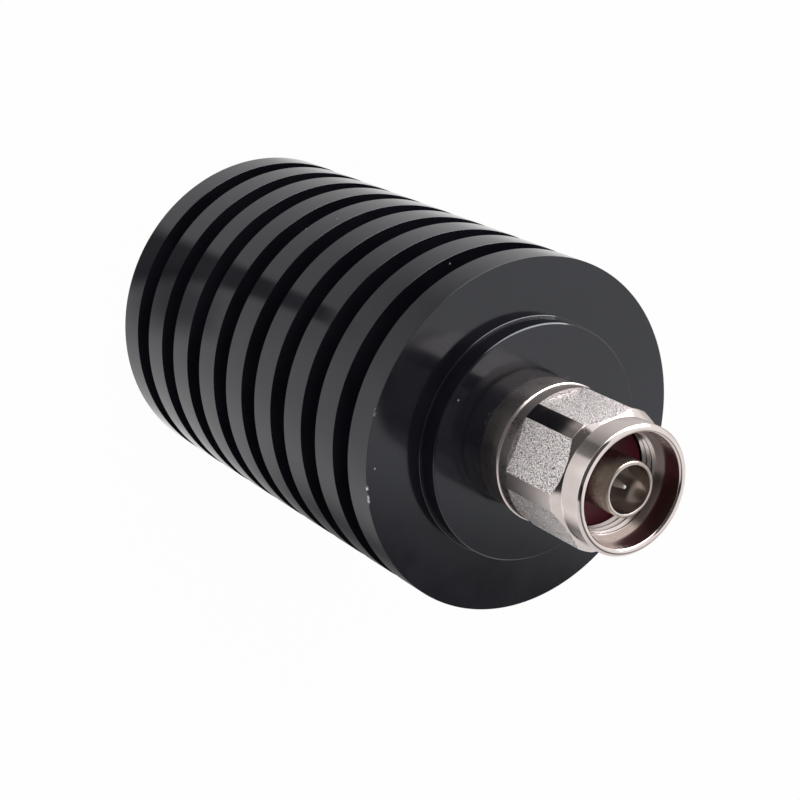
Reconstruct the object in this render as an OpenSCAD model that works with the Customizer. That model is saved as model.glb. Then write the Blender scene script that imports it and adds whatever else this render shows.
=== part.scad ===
// Coaxial dummy load: a finned, turned heat sink with a plug connector on its axis.
// It stands on the rear face of the heat sink; +Z runs along the axis towards the plug.

/* [Heat sink] */
// Outer diameter of the fins
fin_d = 53; // [48:0.5:65]
// Number of fins, end discs included
fin_count = 9; // [8:1:14]
// Thickness of one fin
fin_t = 4.8; // [4:0.1:6.5]
// Width of the groove between two fins
groove_w = 4; // [2.5:0.1:6]
// Diameter of the solid core at the bottom of the grooves
core_d = 37; // [34:0.5:44]
// Chamfer on the fin edges
fin_edge = 0.05; // [0.05:0.05:0.8]
// Diameter of the chamber that holds the resistor
chamber_d = 24; // [23:0.5:26]
// Depth of the chamber under the plug's flange
chamber_depth = 10.5; // [8:0.5:16]

/* [Front cap] */
// Diameter of the cap
cap_d = 35.4; // [33:0.2:42]
// Height of the cap above the front face
cap_h = 3.4; // [2:0.1:6]
// Depth of the cap's seat in the front face
cap_seat = 2.5; // [1:0.1:4]
// Diameter of the cap's spigot, which screws into the heat sink
spigot_d = 30; // [28:0.2:32]
// Length of the spigot
spigot_len = 8; // [5:0.5:12]
// Chamfer on the cap's top edge
cap_edge = 0.2; // [0.1:0.05:0.8]
// Width of the step round the cap's foot
step_w = 0.3; // [0.1:0.05:0.8]
// Height of the step
step_h = 0.3; // [0.2:0.05:0.8]
// Chamfer on the step
step_edge = 0.1; // [0.05:0.05:0.1]

/* [Plug body] */
// Diameter of the neck between cap and nut
neck_d = 19.8; // [17:0.1:21]
// Length of the neck in front of the cap
neck_len = 4; // [2:0.1:8]
// Rounding of the neck's front edge
neck_round = 0.8; // [0.3:0.1:3]
// Thickness of the flange that the cap clamps
flange_t = 3; // [2:0.1:5]
// Diameter of the journal that the nut turns on
journal_d = 13.2; // [12.6:0.1:13.8]
// Length of the journal in front of the neck
journal_len = 8.6; // [7.5:0.1:9.5]
// Bore through the plug body
bore_d = 7; // [6.4:0.1:7.4]

/* [Coupling nut] */
// Diameter of the round bar that the nut is cut from
nut_d = 20.6; // [19.8:0.1:21.6]
// Width across the milled flats
nut_af = 19; // [18.6:0.1:19.6]
// Length of the nut
nut_len = 17.1; // [16.5:0.1:19]
// Play between neck and nut
nut_play = 0.3; // [0.2:0.05:0.6]
// Turn of the first flat about the axis, in degrees
nut_turn = 39.2; // [0:0.1:60]
// Length of the round rear end behind the flats
rim_len = 2.3; // [1.5:0.1:3]
// Diameter of the rear end between lip and flats
rim_d = 20.3; // [19.6:0.1:20.4]
// Thickness of the lip round the rear edge
lip_t = 0.35; // [0.3:0.05:0.8]
// Chamfer on the lip
lip_edge = 0.15; // [0.05:0.05:0.15]
// Diameter of the round front collar
collar_d = 18.7; // [18:0.1:19.2]
// Length of the front collar
collar_len = 3.7; // [2.5:0.1:5]
// Chamfer on the collar's front edge
collar_edge = 0.35; // [0.1:0.05:0.6]
// Diameter of the smooth mouth
mouth_d = 16.4; // [16:0.1:17]
// Depth of the smooth mouth
mouth_depth = 4.15; // [3:0.05:5]
// Chamfer on the mouth's inner edge
mouth_edge = 0.25; // [0.1:0.05:0.4]
// Diameter of the threaded bore, measured at the root of the thread
thread_d = 15.9; // [15.6:0.05:16]
// Length of the threaded bore
thread_len = 3.45; // [2:0.05:4]
// Diameter of the relief behind the thread
relief_d = 16.1; // [15.9:0.05:16.6]
// Length of the bore that turns on the journal
guide_len = 5.8; // [5:0.1:7]

/* [Retaining ring] */
// Distance from the front of the guide bore back to the ring's middle
ring_back = 3; // [2:0.1:3.5]
// Thickness of the ring along the axis
ring_t = 0.9; // [0.6:0.05:1.2]
// Depth of the ring in the journal's groove
ring_in = 0.6; // [0.4:0.05:0.8]
// Reach of the ring into the nut's groove
ring_out = 0.5; // [0.3:0.05:0.8]
// Opening of the split ring
ring_split = 2.4; // [1:0.1:4]

/* [Contacts and insulators] */
// Outer diameter of the outer contact
outer_d = 8.03; // [7.9:0.01:8.2]
// Inner diameter of the outer contact
outer_id = 6.95; // [6.6:0.05:7.1]
// Distance of the outer contact's end behind the nut's front
outer_back = 0.74; // [0.2:0.02:2]
// Diameter of the outer contact's foot in the plug body
foot_d = 9; // [8.6:0.1:9.6]
// Diameter of the groove round the outer contact that holds the gasket
hub_d = 7.6; // [7.4:0.05:7.7]
// Length of the foot in the plug body
foot_seat = 4.5; // [3:0.1:6]
// Chamfer on the outer contact's end
outer_edge = 0.15; // [0.05:0.05:0.25]
// Diameter of the pin
pin_d = 1.65; // [1.4:0.05:2]
// Diameter of the pin's rounded tip
tip_d = 0.5; // [0.3:0.05:0.8]
// Distance of the tip behind the outer contact's end
tip_back = 1; // [0.4:0.05:2]
// Length of the pin's taper
taper_len = 3.4; // [2:0.1:3.6]
// Length of the pin in front of the center contact's shoulder
pin_len = 4.3; // [3.8:0.1:5]
// Diameter of the center contact behind the pin
inner_d = 3.04; // [2.8:0.02:3.2]
// Diameter of the center contact's tail
tail_d = 2.1; // [1.8:0.05:2.4]
// Length of the tail behind the plug's flange
tail_len = 3; // [2:0.1:4]
// Length of the flat on the tail that takes the lead strip
tail_flat = 2.5; // [1.5:0.1:2.8]
// Distance of the front insulator's face behind the outer contact's end
insulator_back = 9.5; // [9:0.1:11]
// Length of the front insulator
insulator_len = 12; // [8:0.5:16]

/* [Gasket] */
// Outer diameter of the gasket
gasket_d = 14.7; // [13.8:0.1:15.2]
// Thickness of the gasket
gasket_t = 1.5; // [0.8:0.1:1.8]

/* [Resistor] */
// Length of the resistor's flange
base_l = 16; // [15:0.5:17]
// Width of the flange
base_w = 6; // [5:0.2:6.6]
// Thickness of the flange
base_t = 1.6; // [1:0.1:3]
// Distance between the flange's screw holes
base_pitch = 11.2; // [10.8:0.1:12]
// Length of the ceramic block along the flange
ceramic_l = 6; // [4:0.2:6.2]
// Thickness of the ceramic block
ceramic_t = 1; // [0.6:0.1:2]
// Thickness of the ceramic lid
lid_t = 1; // [0.6:0.1:2]
// Width of the block's edge that the lid leaves bare for the lead
pad_w = 1.5; // [1:0.1:2.5]
// Width of the lead strip
strip_w = 1.4; // [0.8:0.1:2]
// Thickness of the lead strip
strip_t = 0.2; // [0.1:0.05:0.4]
// Reach of the lead strip from the ceramic block to the axis
strip_reach = 2; // [1.5:0.1:2.6]
// Diameter of the flange screws
screw_d = 2.5; // [2:0.1:2.6]
// Length of the screws in the heat sink
screw_grip = 6; // [4:0.5:10]
// Radial clearance of the screws in the flange
screw_clear = 0.1; // [0.05:0.01:0.2]
// Diameter of the screw heads
head_d = 4.5; // [4:0.1:4.7]
// Height of the screw heads
head_h = 1.6; // [1:0.1:2.5]
// Length of the cross slots in the screw heads
slot_l = 2.2; // [1.6:0.1:3]
// Width of the slots
slot_w = 0.6; // [0.4:0.05:0.8]
// Depth of the slots
slot_depth = 0.8; // [0.4:0.1:1.2]

/* [Clearances] */
// Radial clearance of pieces that seat in each other
seat_clear = 0.05; // [0.03:0.01:0.1]
// Radial clearance of the nut on its journal
run_clear = 0.05; // [0.03:0.01:0.1]
// Play of the retaining ring in its grooves
ring_clear = 0.1; // [0.05:0.01:0.2]
// Space left at the ends of blind holes
end_clear = 1; // [0.5:0.1:2]

/* [Hidden] */
$fn = 96;

// Colours as the photograph shows them
ANODISED = [0.10, 0.10, 0.11];
NICKEL = [0.82, 0.79, 0.77];
SILVER = [0.88, 0.87, 0.85];
SILICONE = [0.36, 0.07, 0.11];
PTFE = [0.93, 0.93, 0.90];
COPPER = [0.80, 0.62, 0.50];
CERAMIC = [0.90, 0.89, 0.86];
STEEL = [0.62, 0.62, 0.63];

// A cut runs this far past the face it opens
past = 1;

// Heights along the axis, from the rear face up
fin_pitch = fin_t + groove_w;
face_z = fin_count * fin_pitch - groove_w;
cap_top = face_z + cap_h;
spigot_top = face_z - cap_seat;
flange_top = spigot_top - spigot_len;
flange_z = flange_top - flange_t;
chamber_z = flange_z - chamber_depth;
neck_top = cap_top + neck_len;
journal_top = neck_top + journal_len;
gasket_top = journal_top + gasket_t;
nut_z = neck_top + nut_play;
nut_top = nut_z + nut_len;
guide_top = nut_z + guide_len;
thread_top = nut_top - mouth_depth;
thread_z = thread_top - thread_len;
ring_z = guide_top - ring_back - ring_t / 2;
outer_top = nut_top - outer_back;
outer_z = journal_top - foot_seat;
tip_z = outer_top - tip_back;
shoulder_z = tip_z - pin_len;
insulator_top = outer_top - insulator_back;
insulator_z = insulator_top - insulator_len;
tail_z = flange_z - tail_len;
base_top = chamber_z + base_t;
ceramic_top = base_top + ceramic_t;
hole_z = chamber_z - screw_grip - end_clear;

// The six corner strips that the flats leave of the round bar end in a chamfer at the collar
corners = 6;
nose = (nut_d - collar_d) / 2;
collar_z = nut_top - collar_len;
lip_z = nut_z + lip_t;
flat_z = nut_z + rim_len;

// The resistor lies beside the axis, so that its lead strip rises on the axis
base_y = -strip_reach - base_w / 2;

// Height at which the lead strip ends on the tail
strip_top = tail_z + tail_flat;

// A closed outline of [radius, height] points, turned about the axis
module turned(points) rotate_extrude() polygon(points);

// Round bar with a chamfer on either end
module bar(d, z0, z1, edge0 = 0, edge1 = 0)
    turned([[0, z0], [d / 2 - edge0, z0], [d / 2, z0 + edge0],
        [d / 2, z1 - edge1], [d / 2 - edge1, z1], [0, z1]]);

// Straight round hole or pin between two heights
module drill(d, z0, z1) translate([0, 0, z0]) cylinder(d = d, h = z1 - z0);

// Ring-shaped groove from inside diameter to outside diameter
module groove(d_in, d_out, z0, z1) difference() {
    drill(d_out, z0, z1);
    drill(d_in, z0 - past, z1 + past);
}

// Both screw places on the resistor's flange
module at_screws() for (side = [-1, 1]) translate([side * base_pitch / 2, base_y, 0]) children();

// Lead-in chamfer on a hole's mouth
module countersink(d, edge, z) translate([0, 0, z - edge])
    cylinder(d1 = d, d2 = d + 2 * (edge + past), h = edge + past);

// Outer contour of one fin, from its rear to its front edge
function fin_contour(z) = [[fin_d / 2 - fin_edge, z], [fin_d / 2, z + fin_edge],
    [fin_d / 2, z + fin_t - fin_edge], [fin_d / 2 - fin_edge, z + fin_t]];

// Bottom of the groove that starts at height z
function groove_contour(z) = [[core_d / 2, z], [core_d / 2, z + groove_w]];

module heat_sink() color(ANODISED) difference() {
    turned([[0, 0], each fin_contour(0), for (i = [1 : fin_count - 1])
        each concat(groove_contour(i * fin_pitch - groove_w), fin_contour(i * fin_pitch)), [0, face_z]]);
    drill(cap_d + 2 * seat_clear, spigot_top, face_z + past);
    drill(spigot_d, flange_z, face_z);
    drill(chamber_d, chamber_z, face_z);
    at_screws() drill(screw_d + 2 * seat_clear, hole_z, chamber_z + past);
}

module front_cap() color(ANODISED) difference() {
    union() {
        bar(cap_d, spigot_top, cap_top, 0, cap_edge);
        bar(cap_d + 2 * step_w, face_z, face_z + step_h, 0, step_edge);
        drill(spigot_d - 2 * seat_clear, flange_top, spigot_top);
    }
    drill(neck_d + 2 * seat_clear, flange_top - past, cap_top + past);
}

module plug_body() color(NICKEL) difference() {
    union() {
        drill(spigot_d - 2 * seat_clear, flange_z, flange_top);
        drill(neck_d, flange_top, neck_top - neck_round);
        drill(neck_d - 2 * neck_round, flange_top, neck_top);
        rotate_extrude() translate([neck_d / 2 - neck_round, neck_top - neck_round]) circle(r = neck_round);
        drill(journal_d, neck_top, journal_top);
    }
    drill(bore_d, flange_z - past, journal_top + past);
    drill(foot_d, outer_z, journal_top + past);
    groove(journal_d - 2 * (ring_in + ring_clear), journal_d + 2 * past,
        ring_z - ring_clear, ring_z + ring_t + ring_clear);
}

// Space that the end mill clears over one flat, in the direction +X
module flat_cut() translate([nut_af / 2, -nut_d / 2, flat_z]) cube([nut_d, nut_d, nut_len]);

module coupling_nut() color(NICKEL) difference() {
    union() {
        bar(nut_d, nut_z, lip_z, lip_edge, lip_edge);
        drill(rim_d, lip_z, flat_z);
        bar(nut_d, flat_z, collar_z, 0, nose);
        bar(collar_d, collar_z, nut_top, 0, collar_edge);
    }
    for (i = [1 : corners]) rotate(nut_turn + i * 360 / corners) flat_cut();
    drill(journal_d + 2 * run_clear, nut_z - past, guide_top + past);
    drill(journal_d + 2 * (run_clear + ring_out + ring_clear),
        ring_z - ring_clear, ring_z + ring_t + ring_clear);
    drill(relief_d, guide_top, thread_z);
    drill(thread_d, thread_z, thread_top);
    drill(mouth_d, thread_top, nut_top + past);
    countersink(mouth_d, mouth_edge, nut_top);
}

module retaining_ring() color(STEEL) difference() {
    drill(journal_d + 2 * (run_clear + ring_out), ring_z, ring_z + ring_t);
    drill(journal_d - 2 * ring_in, ring_z - past, ring_z + ring_t + past);
    translate([0, -ring_split / 2, ring_z - past]) cube([journal_d, ring_split, ring_t + 2 * past]);
}

module gasket() color(SILICONE) difference() {
    drill(gasket_d, journal_top, gasket_top);
    drill(hub_d, journal_top - past, gasket_top + past);
}

module outer_contact() color(NICKEL) difference() {
    union() {
        drill(foot_d, outer_z, journal_top);
        drill(hub_d, journal_top, gasket_top);
        bar(outer_d, gasket_top, outer_top, 0, outer_edge);
    }
    drill(outer_id, outer_z - past, outer_top + past);
}

module center_contact() color(SILVER) difference() {
    union() {
        drill(tail_d, tail_z, insulator_z);
        drill(inner_d, insulator_z, shoulder_z);
        drill(pin_d, shoulder_z, tip_z - taper_len);
        translate([0, 0, tip_z - taper_len])
            cylinder(d1 = pin_d, d2 = tip_d, h = taper_len - tip_d / 2);
        translate([0, 0, tip_z - tip_d / 2]) sphere(d = tip_d);
    }
    translate([-tail_d, 0, tail_z - past]) cube([2 * tail_d, tail_d, tail_flat + past]);
}

module front_insulator() color(PTFE) difference() {
    drill(outer_id - 2 * seat_clear, insulator_z, insulator_top);
    drill(inner_d, insulator_z - past, insulator_top + past);
}

module rear_insulator() color(PTFE) difference() {
    drill(bore_d - 2 * seat_clear, flange_z, insulator_z);
    drill(tail_d, flange_z - past, insulator_z + past);
}

module resistor_flange() color(COPPER) difference() {
    translate([-base_l / 2, base_y - base_w / 2, chamber_z]) cube([base_l, base_w, base_t]);
    at_screws() drill(screw_d + 2 * screw_clear, chamber_z - past, base_top + past);
}

module resistor_substrate() color(CERAMIC)
    translate([-ceramic_l / 2, base_y - base_w / 2, base_top]) cube([ceramic_l, base_w, ceramic_t]);

module resistor_cover() color(CERAMIC)
    translate([-ceramic_l / 2, base_y - base_w / 2, ceramic_top]) cube([ceramic_l, base_w - pad_w, lid_t]);

module lead_strip() color(SILVER)
    translate([strip_w / 2, 0, 0]) rotate([90, 0, -90]) linear_extrude(strip_w) polygon([
        [-strip_t, ceramic_top], [strip_reach + pad_w, ceramic_top],
        [strip_reach + pad_w, ceramic_top + strip_t], [0, ceramic_top + strip_t],
        [0, strip_top], [-strip_t, strip_top]]);

module flange_screws() color(STEEL) at_screws() difference() {
    union() {
        drill(screw_d, chamber_z - screw_grip, base_top);
        drill(head_d, base_top, base_top + head_h);
    }
    for (turn = [0, 90]) rotate(turn)
        translate([-slot_l / 2, -slot_w / 2, base_top + head_h - slot_depth]) cube([slot_l, slot_w, head_h]);
}

heat_sink();
front_cap();
plug_body();
coupling_nut();
retaining_ring();
gasket();
outer_contact();
center_contact();
front_insulator();
rear_insulator();
resistor_flange();
resistor_substrate();
resistor_cover();
lead_strip();
flange_screws();
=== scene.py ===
"""Looks of a coaxial dummy load: turned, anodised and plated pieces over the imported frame."""

import math

import bmesh
import bpy
from mathutils import Euler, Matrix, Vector


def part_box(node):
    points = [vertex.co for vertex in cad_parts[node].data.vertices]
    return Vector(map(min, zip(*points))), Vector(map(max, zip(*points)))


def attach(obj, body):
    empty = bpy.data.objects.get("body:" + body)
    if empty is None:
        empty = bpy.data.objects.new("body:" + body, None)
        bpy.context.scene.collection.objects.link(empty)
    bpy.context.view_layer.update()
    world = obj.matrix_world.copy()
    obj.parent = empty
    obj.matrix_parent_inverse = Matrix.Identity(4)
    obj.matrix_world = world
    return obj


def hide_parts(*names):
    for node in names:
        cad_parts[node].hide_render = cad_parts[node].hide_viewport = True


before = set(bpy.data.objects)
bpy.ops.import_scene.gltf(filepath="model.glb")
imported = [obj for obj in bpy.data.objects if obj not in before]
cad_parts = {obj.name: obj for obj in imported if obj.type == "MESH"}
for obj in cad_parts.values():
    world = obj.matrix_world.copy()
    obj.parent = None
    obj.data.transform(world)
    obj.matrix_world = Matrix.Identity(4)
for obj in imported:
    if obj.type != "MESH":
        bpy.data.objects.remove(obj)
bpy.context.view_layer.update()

bl_info = {
    "name": "Dummy load",
    "version": (1, 0, 0),
    "blender": (4, 5, 0),
    "location": "View3D > Sidebar > Dummy load",
    "description": "Models the turned, milled and plated pieces of a coaxial dummy load",
    "category": "Object",
}

MM = 0.001
TURN = 2 * math.pi
# Distances under which two points count as one, and two faces as lying in one plane.
SAME_POINT = MM / 2000
SAME_PLANE = MM / 200
SINK_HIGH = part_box("heat_sink")[1]
NUT_LOW, NUT_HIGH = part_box("coupling_nut")
BODY_LOW, BODY_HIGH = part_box("plug_body")
TUBE_LOW, TUBE_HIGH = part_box("outer_contact")
PIN_LOW, PIN_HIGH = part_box("center_contact")
CAP_LOW, CAP_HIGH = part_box("front_cap")
# Angles of the knocks on the edge of the front disc, from the front towards +X.
KNOCKS = (13.5, 38.0, 41.5)
# Direction from the part to the middle of the dark place that mirrors see behind the camera.
BEHIND_CAMERA = (0, -0.8, 0.6)
# Soft places of painted light and shade on the floor that only mirrors see: centre, size and softness in
# millimetres, turn in degrees, and the share of the light that each takes, or adds where it is negative.
SHADES = {
    "narrow dark strip in front": ((-5, -45), (10, 45), 2, -20, 0.8),
    "small dark patch in front": ((10, -35), (15, 15), 5, 10, 0.6),
    "broad dark place at the rear": ((60, 40), (80, 80), 25, 45, 0.85),
    "soft shade on the left": ((-70, -75), (60, 50), 60, 45, 0.9),
    "long dark strip on the left": ((-70, -140), (50, 125), 5, -25, 0.7),
    "bright place far in front": ((40, -215), (190, 200), 20, 0, -1.6),
    "bright place far on the left": ((-240, 20), (200, 150), 20, 0, -0.7),
    "bright place far on the right": ((185, -55), (150, 100), 15, 0, -0.7),
}


def length(name, description, millimetres):
    """A length that the user can change, given in millimetres."""
    return bpy.props.FloatProperty(name=name, description=description, default=millimetres * MM,
                                   min=0, precision=5, unit="LENGTH", subtype="DISTANCE")


def share(name, description, value):
    """A value between nought and one."""
    return bpy.props.FloatProperty(name=name, description=description, default=value,
                                   min=0, max=1, subtype="FACTOR")


def colour(name, description, value):
    """A linear colour that the user can change."""
    return bpy.props.FloatVectorProperty(name=name, description=description, default=value,
                                         min=0, max=1, size=3, subtype="COLOR")


def angle(name, description, degrees):
    """An angle that the user can change, given in degrees."""
    return bpy.props.FloatProperty(name=name, description=description, default=math.radians(degrees),
                                   subtype="ANGLE", unit="ROTATION")


def position(name, description, metres):
    """A place that the user can change, given in metres."""
    return bpy.props.FloatVectorProperty(name=name, description=description, default=metres,
                                         size=3, subtype="TRANSLATION", unit="LENGTH")


class HeatSinkLook(bpy.types.PropertyGroup):
    """Sizes and finish of the heat sink and its front cap."""

    fin_d: length("Fin diameter", "Outer diameter of the fins", 53)
    fin_t: length("Fin thickness", "Thickness of one fin along the axis", 4.8)
    groove_w: length("Groove width", "Width of the groove between two fins", 4)
    core_d: length("Core diameter", "Diameter at the bottom of the grooves", 37)
    fin_edge: length("Fin chamfer", "Chamfer on the fin edges", 0.03)
    edge_round: length("Edge rounding", "Rounding of the machined edges", 0.03)
    root_round: length("Groove fillet", "Fillet at the bottom of the grooves", 0.35)
    step_w: length("Step width", "Width of the step round the foot of the cap", 0.3)
    step_h: length("Step height", "Height of the step round the foot of the cap", 0.3)
    step_edge: length("Step chamfer", "Chamfer on the step", 0.1)
    clear: length("Seat clearance", "Radial clearance of pieces that seat in each other", 0.05)
    chamber_d: length("Chamber diameter", "Diameter of the chamber under the plug", 24)
    chamber_z: length("Chamber floor", "Height of the chamber floor", 51.2)
    screw_pitch: length("Screw distance", "Distance between the two screw holes", 11.2)
    screw_y: length("Screw offset", "Distance of the screw holes from the axis", 5)
    screw_d: length("Screw hole", "Diameter of the screw holes", 2.6)
    screw_depth: length("Screw hole depth", "Depth of the screw holes", 7)
    cap_d: length("Cap diameter", "Diameter of the front cap", 35.4)
    cap_edge: length("Cap chamfer", "Chamfer on the top edge of the cap", 0.2)
    cap_seat: length("Cap seat", "Depth of the seat of the cap in the front face", 2.5)
    spigot_d: length("Spigot diameter", "Diameter of the spigot of the cap", 30)
    black: colour("Anodised black", "Colour of the dyed oxide layer", (0.006, 0.006, 0.009))
    bare: colour("Bare aluminium", "Colour where the oxide is rubbed through", (0.72, 0.72, 0.73))
    gloss: share("Roughness", "Mean roughness of the anodised surface", 0.12)


class PlugLook(bpy.types.PropertyGroup):
    """Sizes and finish of the plug body, its contacts and its gasket."""

    neck_d: length("Neck diameter", "Diameter of the neck between cap and nut", 19.8)
    neck_round: length("Neck rounding", "Rounding of the front edge of the neck", 0.25)
    neck_top: length("Neck top", "Height of the front of the neck", 82.6)
    flange_t: length("Flange thickness", "Thickness of the clamped flange", 3)
    journal_d: length("Journal diameter", "Diameter that the nut turns on", 13.2)
    bore_d: length("Bore", "Bore through the plug body", 7)
    groove_z: length("Ring groove", "Height of the middle of the groove of the ring", 85.7)
    groove_w: length("Ring groove width", "Width of the groove of the ring", 1.1)
    groove_depth: length("Ring groove depth", "Depth of the groove in the journal", 0.7)
    foot_d: length("Foot diameter", "Diameter of the foot of the outer contact", 9)
    hub_d: length("Hub diameter", "Diameter of the outer contact inside the gasket", 7.6)
    outer_d: length("Outer contact", "Outer diameter of the outer contact", 8.03)
    outer_id: length("Outer contact bore", "Inner diameter of the outer contact", 6.95)
    outer_edge: length("Outer contact chamfer", "Chamfer on the end of the outer contact", 0.15)
    gasket_d: length("Gasket diameter", "Outer diameter of the gasket", 14.7)
    gasket_t: length("Gasket thickness", "Thickness of the gasket", 1.5)
    pin_d: length("Pin diameter", "Diameter of the pin", 1.65)
    tip_d: length("Tip diameter", "Diameter of the rounded tip of the pin", 0.5)
    taper_len: length("Taper length", "Length of the taper of the pin", 3.4)
    pin_len: length("Pin length", "Length of the pin in front of its shoulder", 4.3)
    inner_d: length("Center contact", "Diameter of the center contact behind the pin", 3.04)
    inner_z: length("Center contact foot", "Height at which the tail begins", 77.76)
    tail_d: length("Tail diameter", "Diameter of the tail", 2.1)
    tail_flat: length("Tail flat", "Length of the flat on the tail", 2.5)
    nickel: colour("Nickel", "Colour of the nickel plating", (0.70, 0.62, 0.59))
    satin: share("Satin roughness", "Roughness of the neck and of the rear end of the nut", 0.31)
    toned: colour("Toned nickel", "Colour of the outer contact's duller plating", (0.50, 0.44, 0.38))
    # The plating colour in the bore is set lighter than outside: partly the plating's own colour, partly
    # painted light.
    bore_tone_and_painted_light: colour("Contact bore", "Colour of the plating in the outer contact", (0.80, 0.70, 0.66))
    silver: colour("Silver", "Colour of the silver plating", (0.93, 0.91, 0.87))
    rubber: colour("Silicone rubber", "Colour of the gasket", (0.085, 0.008, 0.016))


class NutLook(bpy.types.PropertyGroup):
    """Sizes and finish of the coupling nut."""

    bar_d: length("Bar diameter", "Diameter of the round bar", 20.6)
    flats: length("Across flats", "Width across the milled flats", 19)
    turn: angle("Turn", "Turn of the first flat about the axis", 39.2)
    rim_len: length("Rear rim", "Length of the round rear end behind the flats", 2.3)
    rim_d: length("Rim diameter", "Diameter of the rear end between lip and flats", 20.3)
    lip_t: length("Lip", "Thickness of the lip round the rear edge", 0.35)
    lip_edge: length("Lip chamfer", "Chamfer on the lip", 0.15)
    collar_d: length("Collar diameter", "Diameter of the front collar", 18.7)
    collar_len: length("Collar length", "Length of the front collar", 3.7)
    collar_edge: length("Collar chamfer", "Chamfer on the front edge of the collar", 0.35)
    mouth_d: length("Mouth diameter", "Diameter of the smooth mouth", 16.4)
    mouth_depth: length("Mouth depth", "Depth of the smooth mouth", 4.15)
    mouth_edge: length("Mouth chamfer", "Chamfer on the inner edge of the mouth", 0.25)
    thread_d: length("Thread root", "Diameter at the root of the thread", 15.9)
    thread_len: length("Thread length", "Length of the threaded bore", 3.45)
    thread_pitch: length("Thread pitch", "Distance from turn to turn of the thread", 1.058)
    thread_rise: length("Thread height", "Height of the thread over its root", 0.5)
    relief_d: length("Relief diameter", "Diameter of the relief behind the thread", 16.1)
    guide_d: length("Guide bore", "Diameter of the bore that turns on the journal", 13.3)
    guide_len: length("Guide length", "Length of the guide bore", 5.8)
    groove_depth: length("Ring groove depth", "Depth of the groove in the guide bore", 0.6)
    edge_round: length("Edge rounding", "Rounding of the polished edges", 0.06)
    blasted: colour("Blasted nickel", "Colour of the bead-blasted flats", (1.0, 0.93, 0.92))
    blast: share("Blasted roughness", "Roughness of the bead-blasted flats", 0.40)


class StageLook(bpy.types.PropertyGroup):
    """The camera, the lamps and the floor."""

    eye: position("Camera place", "Place of the camera", (0.00336, -0.185, 0.2824))
    dip: angle("Camera tilt", "Angle of the view from straight down", 38.045)
    roll: angle("Camera roll", "Turn of the camera about its line of sight", 117.165)
    lens: bpy.props.FloatProperty(
        name="Lens", description="Focal length on a 36 mm wide picture",
        default=87.0, min=1, subtype="DISTANCE_CAMERA", unit="CAMERA")
    paper: colour("Floor", "Colour of the floor", (0.93, 0.93, 0.93))
    white: share("White share", "How far the floor is lifted to white in the picture", 0.97)
    fill: share("Fill light", "Level of the light from all round", 0.6)
    key: bpy.props.FloatProperty(
        name="Key lamp", description="Power of the large soft lamp", default=2.0, min=0,
        subtype="POWER", unit="POWER")
    key_place: position("Key lamp place", "Place of the large soft lamp", (-0.45, -0.35, 0.55))
    key_size: length("Key lamp size", "Width and height of the large soft lamp", 600)
    box: bpy.props.FloatProperty(
        name="Mirrored box", description="Brightness of the box that polished edges mirror",
        default=8.0, min=0)
    box_place: position("Box place", "Place of the mirrored box", (-0.86, -0.15, 0.27))
    box_w: length("Box width", "Width of the mirrored box", 1190)
    box_h: length("Box height", "Height of the mirrored box", 550)


def begin(name):
    """Names the primitive just added and opens it in edit mode."""
    piece = bpy.context.object
    piece.name = piece.data.name = name
    bpy.ops.object.mode_set(mode="EDIT")
    return piece


def pick(piece, test):
    """Selects in edit mode the vertices that pass the test of their place."""
    shape = bmesh.from_edit_mesh(piece.data)
    bpy.ops.mesh.select_mode(type="VERT")
    for vertex in shape.verts:
        vertex.select = test(vertex.co)
    shape.select_flush(True)
    shape.select_flush(False)
    bmesh.update_edit_mesh(piece.data)


def outline(name, corners):
    """Draws corners of (radius, height, rounding) as a line from one vertex, and rounds them."""
    places = [Vector((radius, 0, level)) for radius, level, rounding in corners]
    bpy.ops.mesh.primitive_plane_add(size=MM)
    piece = begin(name)
    bpy.ops.mesh.merge(type="CENTER")
    bpy.ops.transform.translate(value=places[0])
    for start, end in zip(places, places[1:]):
        bpy.ops.mesh.extrude_vertices_move(TRANSFORM_OT_translate={"value": end - start})
    for size in sorted({rounding for radius, level, rounding in corners if rounding}):
        chosen = [place for place, corner in zip(places, corners) if corner[2] == size]
        pick(piece, lambda co: any((co - place).length < 2 * SAME_POINT for place in chosen))
        bpy.ops.mesh.bevel(offset=size, segments=3 + round(size / (0.2 * MM)), affect="VERTICES")
    return piece


def close_up():
    """Merges the doubles of the shape in edit mode, turns its faces outwards and leaves it."""
    bpy.ops.mesh.select_all(action="SELECT")
    bpy.ops.mesh.remove_doubles(threshold=SAME_POINT)
    bpy.ops.mesh.normals_make_consistent(inside=False)
    bpy.ops.object.mode_set(mode="OBJECT")


def turned(name, corners, steps=160):
    """A piece turned on the lathe: its outline spun about the axis."""
    piece = outline(name, corners)
    bpy.ops.mesh.select_all(action="SELECT")
    bpy.ops.mesh.spin(steps=steps, angle=TURN, center=(0, 0, 0), axis=(0, 0, 1))
    close_up()
    return piece


def closed(corners):
    """The corners of a ring's outline, with the first one again at the end."""
    return corners + [corners[0][:2] + (0,)]


def modify(piece, kind, **settings):
    """Adds a modifier with its settings and applies it."""
    bpy.context.view_layer.objects.active = piece
    modifier = piece.modifiers.new(kind.title(), kind)
    for key, value in settings.items():
        setattr(modifier, key, value)
    bpy.ops.object.modifier_apply(modifier=modifier.name)


def cut(piece, cutter, operation="DIFFERENCE"):
    """Takes the cutter out of the piece, or keeps only what is inside it, and removes the cutter."""
    modify(piece, "BOOLEAN", operation=operation, solver="EXACT", object=cutter)
    bpy.data.meshes.remove(cutter.data)


def choose(piece):
    """Selects one piece alone and makes it the active one."""
    bpy.ops.object.select_all(action="DESELECT")
    piece.select_set(True)
    bpy.context.view_layer.objects.active = piece


def place_at_origin(piece):
    """Puts the place and turn of a piece into its mesh."""
    choose(piece)
    bpy.ops.object.transform_apply(location=True, rotation=True, scale=True)


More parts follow.
